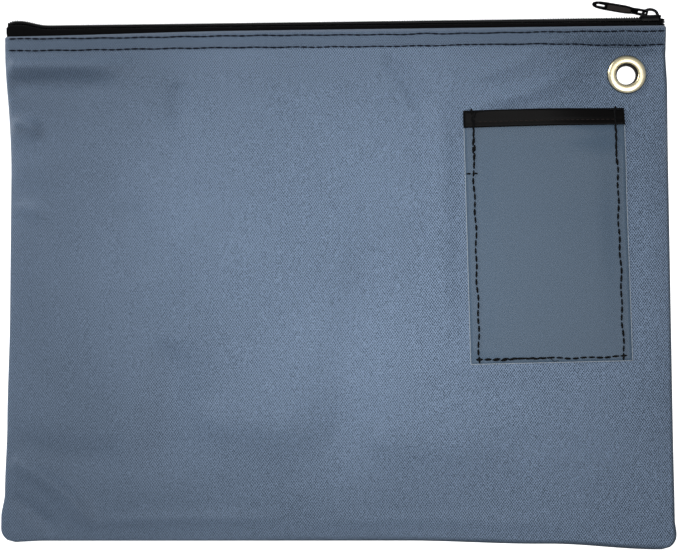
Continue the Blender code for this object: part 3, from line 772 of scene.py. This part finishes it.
# seams of the sides and the bottom: the thread shows only between the two folded edges
for label, side in (("left", -1.0), ("right", 1.0)):
    line = []
    for k in range(100):
        y = np.array([-140.0 + 282.0 * k / 99])
        f = section(np.array([side]), y, CLOTH / 2, True)[0]
        b = section(np.array([side]), y, CLOTH / 2, False)[0]
        line.append((f[0] - side * 0.45, f[1], (f[2] + b[2]) / 2))
    piece = sew("side_seam_stitches_" + label, [line], SEAM_THREAD, 51, 0.2, 2.6, 3.0)
    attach(piece, "bag")
    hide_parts("side_seam_" + label)
line = []
for k in range(120):
    f = np.array([-0.985 + 1.97 * k / 119])
    p = section(f, np.array([BOTTOM_Y]), CLOTH / 2, True)[0]
    q = section(f, np.array([BOTTOM_Y]), CLOTH / 2, False)[0]
    line.append((p[0], p[1] + 0.45, (p[2] + q[2]) / 2))
piece = sew("bottom_seam_stitches", [line], SEAM_THREAD, 52, 0.2, 2.6, 3.0)
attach(piece, "bag")
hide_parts("bottom_seam")


# ---------------------------------------------------------------- zipper
def chain_rise(x):
    """How far the chain's free left end stands up."""
    return 2.9 * ease(-x, 168, 185) - 1.6 * ease(-x, 188.0, 192.5)


def tape(name, front):
    """One zipper tape with its turned-down leg inside the hem."""
    side = 1.0 if front else -1.0
    x = np.linspace(-191.8, 188.0, 140)
    rise = chain_rise(x)
    rows = []
    for y, z in ((149.72, 0.35), (149.72, 2.0), (149.72, 3.0), (149.6, 3.5), (149.3, 3.9), (148.7, 4.12)):
        rows.append(np.stack([x, y + rise, np.full_like(x, MOUTH_Z + side * z)], -1))
    inner = np.clip(x, -187.0, 188.0)
    for y in (146.6, 145.2, 143.3, 141.0, 138.5, 136.4):
        top = section(inner / HALF_LENGTH, np.full_like(x, y), 0.0, front)
        keep = float(ease(y, 136, 147))
        across = inner + (x - inner) * keep
        rows.append(np.stack([across, y + rise * keep * 0.5, top[:, 2] - side * 1.75], -1))
    obj = put(name, net_mesh(name, np.array(rows)), TAPE_CLOTH)
    solid(obj, 0.4)
    outward(obj.data)
    return obj


for label, front in (("front", True), ("back", False)):
    piece = tape("tape_" + label, front)
    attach(piece, "bag")
    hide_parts("zipper_tape_" + label)


def coil_tree():
    """Coil links along a line: a closed loop of monofilament for each turn, leaning along the chain."""
    kinds = (("Pitch", "NodeSocketFloat"), ("Depth", "NodeSocketFloat"), ("Height", "NodeSocketFloat"))
    kinds += (("Wire", "NodeSocketFloat"), ("Lean", "NodeSocketFloat"), ("Nylon", "NodeSocketMaterial"))
    group, given, out = node_group("coil", kinds)
    curve = add(group, "GeometryNodeMeshToCurve", {0: given.outputs["Geometry"]})
    spaced = {"Curve": curve.outputs[0], "Length": given.outputs["Pitch"]}
    points = add(group, "GeometryNodeResampleCurve", spaced, mode="LENGTH")
    loop = add(
        group,
        "GeometryNodeCurvePrimitiveQuadrilateral",
        {"Width": given.outputs["Height"], "Height": given.outputs["Depth"]},
    )
    rounding = {"Curve": loop.outputs[0], "Radius": 0.7 * MM, "Count": 2}
    soft = add(group, "GeometryNodeFilletCurve", rounding, mode="POLY")
    wire = add(group, "GeometryNodeCurvePrimitiveCircle", {"Resolution": 6, "Radius": given.outputs["Wire"]})
    link = add(group, "GeometryNodeCurveToMesh", {"Curve": soft.outputs[0], "Profile Curve": wire.outputs[0]})
    upright = {"Geometry": link.outputs[0], "Rotation": (0.0, math.pi / 2, 0.0)}
    stood = add(group, "GeometryNodeTransform", upright)
    turn = add(group, "ShaderNodeCombineXYZ", {1: given.outputs["Lean"]})
    leant = add(group, "GeometryNodeTransform", {"Geometry": stood.outputs[0], "Rotation": turn.outputs[0]})
    placing = {"Points": points.outputs[0], "Instance": leant.outputs[0]}
    placed = add(group, "GeometryNodeInstanceOnPoints", placing)
    return closed_group(group, placed, given.outputs["Nylon"], out)


COIL = coil_tree()
COIL_PITCH = 1.45
for label, side in (("front", 1.0), ("back", -1.0)):
    line = []
    start = -191.4 + (0.0 if side > 0 else COIL_PITCH / 2)
    for k in range(376):
        x = start + 379.0 * k / 375
        line.append((x, 151.45 + float(chain_rise(np.array(x))), MOUTH_Z + side * 1.5))
    values = {
        "Pitch": COIL_PITCH * MM,
        "Depth": 2.6 * MM,
        "Height": 1.5 * MM,
        "Wire": 0.34 * MM,
        "Lean": side * 0.16,
        "Nylon": COIL_NYLON,
    }
    piece = run_nodes("coil_" + label, line_mesh("coil_" + label, [line]), COIL, values)
    cord = [(p[0], p[1] + 0.02, MOUTH_Z + side * 1.45) for p in line[::4]]
    core = rod("core_" + label, cord, 1.02, COIL_NYLON, 10)
    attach(core, "bag")
    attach(piece, "bag")
    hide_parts("zipper_coil_" + label)

# ends of the tapes, folded and caught in the side seams
for label, side in (("left", -1.0), ("right", 1.0)):
    x0 = side * 187.2
    x1 = side * 190.7
    lift = float(chain_rise(np.array(x0 - side * 1.0)))
    parts = []
    for y, z, w in ((148.6, 0.0, 3.9), (150.2, 0.3, 3.4), (151.6, -0.2, 2.6)):
        shape = [(x0, -w), (x0 + side * 1.4, -w * 0.9), (x1 - side * 0.6, -w * 0.35)]
        shape += [(x1, 0.2), (x0 + side * 2.0, w), (x0, w)]
        mesh = plate("tail", shape, -0.45, 0.45, 0.15)
        turn = Matrix.Rotation(-math.pi / 2, 4, "X")
        parts.append((mesh, Matrix.Translation((0, (y + lift) * MM, (MOUTH_Z + z) * MM)) @ turn))
    piece = join("tape_tail_" + label, parts, TAPE_CLOTH)
    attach(piece, "bag")

# ---------------------------------------------------------------- slider
# half outline of the plates: along the chain, half width
PLATE = (
    (-6.1, 2.4), (-5.7, 3.2), (-4.7, 3.7), (0.0, 3.7), (1.3, 3.9), (2.6, 4.2), (4.5, 4.2), (5.6, 3.5), (6.1, 2.2),
)
plate_line = [(x, -w) for x, w in PLATE] + [(x, w) for x, w in reversed(PLATE)]
stand = Matrix.Translation([c * MM for c in SLIDER]) @ Matrix.Rotation(-math.pi / 2, 4, "X")
parts = [(plate("cap", plate_line, -1.1, 0.0, 0.3, 3), stand)]
inner_line = [(x * 0.95, w * 0.83) for x, w in plate_line]
parts.append((plate("inner", inner_line, -5.65, -4.6, 0.25), stand))
wedge = [(1.4, 0.0), (2.6, -0.5), (5.2, -0.5), (5.2, 0.5), (2.6, 0.5)]
parts.append((plate("wedge", wedge, -4.7, -0.8), stand))
for side in (1.0, -1.0):
    rail = [(-5.4, 3.15), (0.3, 3.15), (2.6, 3.5), (4.4, 3.5)]
    rail += [(4.4, 4.12), (2.4, 4.12), (-0.1, 3.62), (-5.4, 3.62)]
    parts.append((plate("rail", [(x, side * w) for x, w in rail], -3.5, -0.9, 0.15), stand))
arch = []
for k in range(29):
    a = math.radians(180.0 * k / 28)
    arch.append((4.35 * math.cos(a), 3.95 * math.sin(a) ** 0.85 if 0 < k < 28 else 0.0, 0.0))
arch = [(4.35, -0.6, 0.0)] + arch + [(-4.35, -0.6, 0.0)]
bail = rod("bail", arch, 0.9, SLIDER_ENAMEL, 12, 0.65, (0, 0, 1))
parts.append((bail.data, Matrix.Translation([c * MM for c in SLIDER])))
slider = join("slider", parts, SLIDER_ENAMEL)
bpy.data.objects.remove(bail)
slider.data.set_sharp_from_angle(angle=math.radians(50))
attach(slider, "slider")
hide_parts("slider_body")

# ---------------------------------------------------------------- pull tab
TAB = (
    (-0.45, 1.35), (-0.25, 1.8), (0.3, 2.1), (5.8, 2.1), (7.0, 1.95), (8.6, 2.0), (10.5, 2.35), (13.0, 2.6),
    (24.0, 2.6), (27.5, 2.42), (29.8, 2.0), (31.3, 1.3), (32.0, 0.5),
)
tab_line = [(x, -w) for x, w in TAB] + [(x, w) for x, w in reversed(TAB)]


def round_slot(x0, x1, w, r, steps=5):
    """Outline of a long rounded opening."""
    out = []
    corners = ((x1 - r, w - r, 0), (x0 + r, w - r, 90), (x0 + r, r - w, 180), (x1 - r, r - w, 270))
    for cx, cy, start in corners:
        for k in range(steps + 1):
            a = math.radians(start + 90 * k / steps)
            out.append((cx + r * math.cos(a), cy + r * math.sin(a)))
    return out


def carve(obj, mesh):
    """Cut one mesh out of an object."""
    tool = bpy.data.objects.new("tool", mesh)
    bpy.context.scene.collection.objects.link(tool)
    mod = obj.modifiers.new("cut", "BOOLEAN")
    mod.operation = "DIFFERENCE"
    mod.solver = "EXACT"
    mod.object = tool
    settle(obj)
    bpy.data.objects.remove(tool)


tab = put("pull", plate("pull", tab_line, -0.6, 0.6, 0.18, 2), TAB_ENAMEL)
carve(tab, plate("w", round_slot(0.75, 5.3, 0.95, 0.4), -2, 2))
carve(tab, plate("s", round_slot(24.6, 29.6, 0.95, 0.9), -2, 2))
recess = [(9.6, -1.3), (12.6, -1.85), (22.6, -1.85), (23.2, -1.3)]
recess += [(x, -w) for x, w in reversed(recess)]
for low, high in ((0.38, 2.0), (-2.0, -0.38)):
    carve(tab, plate("r", recess, low, high))
tab.data.materials.clear()
tab.data.materials.append(TAB_ENAMEL)
tab.data.materials.append(TAB_FACE)
for poly in tab.data.polygons:
    c = poly.center / MM
    poly.material_index = 1 if 9.4 < c.x < 23.4 and abs(abs(c.z) - 0.38) < 0.02 else 0
pose = Matrix.Translation([c * MM for c in PULL_AXIS]) @ Matrix.Rotation(math.radians(169.3), 4, "Z")
pose = pose @ Matrix.Rotation(math.radians(40.0), 4, "X") @ Matrix.Rotation(math.pi / 2, 4, "X")
tab.data.transform(pose)
tab.data.shade_smooth()
tab.data.set_sharp_from_angle(angle=math.radians(35))
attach(tab, "pull")
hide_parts("pull_tab")

# ---------------------------------------------------------------- grommet
profile = [
    (5.35, 0.8), (5.8, 2.6), (6.2, 4.0), (6.45, 4.55), (6.9, 4.95), (7.6, 5.13), (8.6, 5.15), (9.6, 5.05),
    (10.4, 4.75), (10.95, 4.3), (11.2, 3.8), (11.15, 3.5), (10.9, 3.45), (10.4, 3.8), (7.2, 3.8), (6.7, 3.5),
    (6.7, 0.78), (8.2, 0.78), (8.25, 0.6), (7.9, 0.38), (6.7, 0.38), (5.6, 0.5),
]
grommet = turned("grommet_rolled", profile, BRASS, GROMMET)
grommet.data.materials.append(THROAT_SHADE)
# painted shade: the throat, the outer rim and the underside take the near-black material
for poly in grommet.data.polygons:
    c = poly.center / MM
    r = math.hypot(c.x - GROMMET[0], c.y - GROMMET[1])
    poly.material_index = 1 if r < 6.62 or r > 10.78 or c.z < 3.7 else 0
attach(grommet, "bag")
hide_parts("grommet")
profile = [
    (7.0, 1.1), (7.0, 1.7), (11.0, 1.7), (11.2, 1.55), (11.0, 1.3), (10.4, 1.15), (9.6, 1.1), (7.6, 1.1),
]
washer = turned("grommet_washer_rolled", profile, BRASS, GROMMET)
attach(washer, "bag")
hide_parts("grommet_washer")


# ---------------------------------------------------------------- card window
def on_window(u, v, lift):
    """Place on the card window, u across and v up from its centre."""
    x = WINDOW_MID[0] + u * math.cos(WINDOW_TURN) - v * math.sin(WINDOW_TURN)
    y = WINDOW_MID[1] + u * math.sin(WINDOW_TURN) + v * math.cos(WINDOW_TURN)
    return (x, y, above(x, y) + lift)


HALF_W, HALF_H = WINDOW_SIZE[0] / 2, WINDOW_SIZE[1] / 2
BINDING_V = HALF_H - BINDING
LEFT_U, RIGHT_U, LOW_V = -HALF_W + 5.0, HALF_W - 5.0, -HALF_H + 2.4


def sheet_lift(u, v):
    """Gap under the clear sheet: tight at the stitches, a little slack in the pocket."""
    inner = ease(HALF_W - 5.0 - abs(u), 0.0, 14.0) * ease(v - LOW_V, 0.0, 16.0)
    slack = 0.9 * inner * (0.75 + 0.25 * math.sin(v / 19.0 + u / 31.0))
    rise = 0.75 * float(ease(v, BINDING_V - 9, BINDING_V))
    return 0.32 + float(slack) * (1.0 - 0.5 * float(ease(v, BINDING_V - 20, BINDING_V))) + rise


us = np.linspace(-HALF_W, HALF_W, 47)
vs = np.linspace(-HALF_H, HALF_H - 1.2, 75)
sheet = np.array([[on_window(u, v, sheet_lift(u, v)) for u in us] for v in vs])
card_sheet = put("card_window_sheet", net_mesh("card_window_sheet", sheet), VINYL)
solid(card_sheet, VINYL_SHEET)
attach(card_sheet, "bag")
for label, u0, v0, u1, v1 in (
    ("left", -HALF_W, BINDING_V, -HALF_W, -HALF_H),
    ("right", HALF_W, BINDING_V, HALF_W, -HALF_H),
    ("bottom", -HALF_W, -HALF_H, HALF_W, -HALF_H),
):
    run = []
    for t in np.linspace(0.0, 1.0, 60):
        u, v = u0 + (u1 - u0) * t, v0 + (v1 - v0) * t
        run.append(on_window(u, v, sheet_lift(u, v)))
    edge = rod("vinyl_edge_" + label, run, 0.26, VINYL_EDGE, 6)
    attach(edge, "bag")
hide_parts("card_window")


def binding_path():
    """Section of the folded binding: (v, lift) from the back leaf over the top to the front leaf."""
    low, high = 0.42, 1.85
    out = [(BINDING_V + 9.0 * k / 6, low) for k in range(7)]
    for a in (-70, -40, 0, 40, 70):
        r = math.radians(a)
        out.append((HALF_H - 0.75 + 0.75 * math.cos(r), (low + high) / 2 + (high - low) / 2 * math.sin(r)))
    out += [(BINDING_V + 9.0 * k / 9, high - (0.2 if abs(k - 3) < 1 else 0.0)) for k in range(9, -1, -1)]
    return out


us = np.linspace(-HALF_W - 0.3, HALF_W + 0.3, 61)
rows = np.array([[on_window(u, v, lift) for u in us] for v, lift in binding_path()])
binding = put("binding_folded", net_mesh("binding_folded", rows), BINDING_VINYL)
solid(binding, 0.4)
outward(binding.data)
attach(binding, "bag")
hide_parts("window_binding")

# the lighter thread of these stitches stands in for glints on them: painted highlight
line = [on_window(u, BINDING_V + 3.1, 2.05) for u in np.linspace(LEFT_U + 1.5, RIGHT_U - 1.5, 60)]
piece = sew("binding_stitches", [line], BINDING_THREAD_GLINT, 71, 0.3, 2.0, 2.9)
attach(piece, "bag")
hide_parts("window_binding_stitch")


def seam_lift(u, v):
    """Height of the window's stitches over the front cloth."""
    step = float(ease(v, BINDING_V - 1.2, BINDING_V + 0.2))
    return (sheet_lift(u, v) + 0.45) * (1 - step) + 2.2 * step


def stray(t, phase):
    """How far a hand-guided seam strays from its line."""
    return 0.3 * math.sin(t / 3.1 + phase) + 0.22 * math.sin(t / 7.7 + 2.0 * phase)


side_v = np.linspace(HALF_H - 0.6, LOW_V, 110)
again_v = np.linspace(HALF_H - 2.5, HALF_H - 31, 40)
left = [on_window(LEFT_U + stray(v, 0.4), v, seam_lift(LEFT_U, v)) for v in side_v]
right = [on_window(RIGHT_U + stray(v, 2.1), v, seam_lift(RIGHT_U, v)) for v in side_v]
foot = [on_window(u, LOW_V + stray(u, 1.2), seam_lift(u, LOW_V)) for u in np.linspace(LEFT_U, RIGHT_U, 60)]
# the seam runs twice down from the binding and along the start of the foot
left_again = [on_window(LEFT_U + 0.7 - stray(v, 1.0), v, seam_lift(LEFT_U, v)) for v in again_v]
right_again = [on_window(RIGHT_U - 0.3, v, seam_lift(RIGHT_U, v)) for v in again_v]
foot_again = [on_window(u, LOW_V + 0.3, seam_lift(u, LOW_V)) for u in np.linspace(LEFT_U, LEFT_U + 40, 40)]
lines = [left, right, foot, left_again, right_again, foot_again]
# short cross stitches at the binding's two ends, and one on the left side
cross = [
    [on_window(u, HALF_H - 1.0, 2.2) for u in np.linspace(end - 2.2, end + 2.2, 5)]
    for end in (LEFT_U, RIGHT_U)
]
cross.append([on_window(u, HALF_H - 36.0, 0.75) for u in np.linspace(LEFT_U - 3.0, LEFT_U + 1.0, 4)])
seam = sew("window_stitches", lines, BLACK_THREAD, 83, 0.62, 4.1)
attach(seam, "bag")
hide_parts("window_seam_stitch")
tacks = sew("window_backtacks", cross, BLACK_THREAD, 84, 0.5, 2.8, 2.1)
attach(tacks, "bag")
tail = []
for k in range(9):
    u = LEFT_U + 40.5 + 0.55 * k
    tail.append(on_window(u, LOW_V - 0.2 - 1.6 * math.sin(k / 8 * 2.4), 0.55 + 0.25 * math.sin(k)))
tail = rod("thread_tail", tail, 0.18, BLACK_THREAD, 6)
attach(tail, "bag")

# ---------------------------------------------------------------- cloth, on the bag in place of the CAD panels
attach(front_cloth, "bag")
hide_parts("front_panel")
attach(back_cloth, "bag")
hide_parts("back_panel")

# ---------------------------------------------------------------- floor, light and camera
floor_mat, floor_tree, floor_shader = new_material("white_sweep", "ffffff", 0.9, Specular_IOR_Level=0.1)
floor_shader.inputs["Emission Color"].default_value = (1, 1, 1, 1)
floor_shader.inputs["Emission Strength"].default_value = 0.75
# just under the bag, so that the two never share a plane
FLOOR_Z = -0.0004
floor_mesh = bpy.data.meshes.new("floor")
corners = [(x, y, FLOOR_Z) for x, y in ((-3, -3), (3, -3), (3, 3), (-3, 3))]
floor_mesh.from_pydata(corners, [], [(0, 1, 2, 3)])
floor = put("floor", floor_mesh, floor_mat, False)

world = bpy.data.worlds.new("studio")
bpy.context.scene.world = world
world.use_nodes = True
sky = world.node_tree.nodes["Background"]
sky.inputs[0].default_value = (0.93, 0.96, 1.0, 1.0)
sky.inputs[1].default_value = 0.35


def aim_at(obj, place, aim):
    """Put a light at a place and turn it toward another."""
    bpy.context.scene.collection.objects.link(obj)
    obj.location = place
    obj.rotation_mode = "QUATERNION"
    obj.rotation_quaternion = (Vector(aim) - Vector(place)).to_track_quat("-Z", "Y")


def softbox(name, place, aim, size, power):
    """A square area light."""
    light = bpy.data.lights.new(name, "AREA")
    light.energy = power
    light.size = size
    aim_at(bpy.data.objects.new(name, light), place, aim)


softbox("key", (-1.6, 1.3, 0.9), (0, 0, 0), 0.7, 21.0)
softbox("overhead", (0.3, -0.1, 1.7), (0.05, 0, 0), 1.1, 11.0)
# a soft pool of light, which falls off toward the bag's edges
pool = bpy.data.lights.new("pool", "SPOT")
pool.energy = 66.0
pool.spot_size = math.radians(13.8)
pool.spot_blend = 1.0
pool.shadow_soft_size = 0.1
spot = bpy.data.objects.new("pool", pool)
spot.visible_glossy = False
aim_at(spot, (0.014, 0.03, 1.6), (0.014, 0.005, 0.0))

scene = bpy.context.scene
scene.view_settings.view_transform = "Standard"
camera_data = bpy.data.cameras.new("camera")
camera_data.lens = 85.0
camera_data.sensor_width = 36.0
camera = bpy.data.objects.new("camera", camera_data)
scene.collection.objects.link(camera)
camera.location = (0.0377, -0.0565, 0.9274)
camera.rotation_mode = "XYZ"
camera.rotation_euler = (math.radians(3.80), math.radians(2.23), math.radians(-0.24))
scene.camera = camera
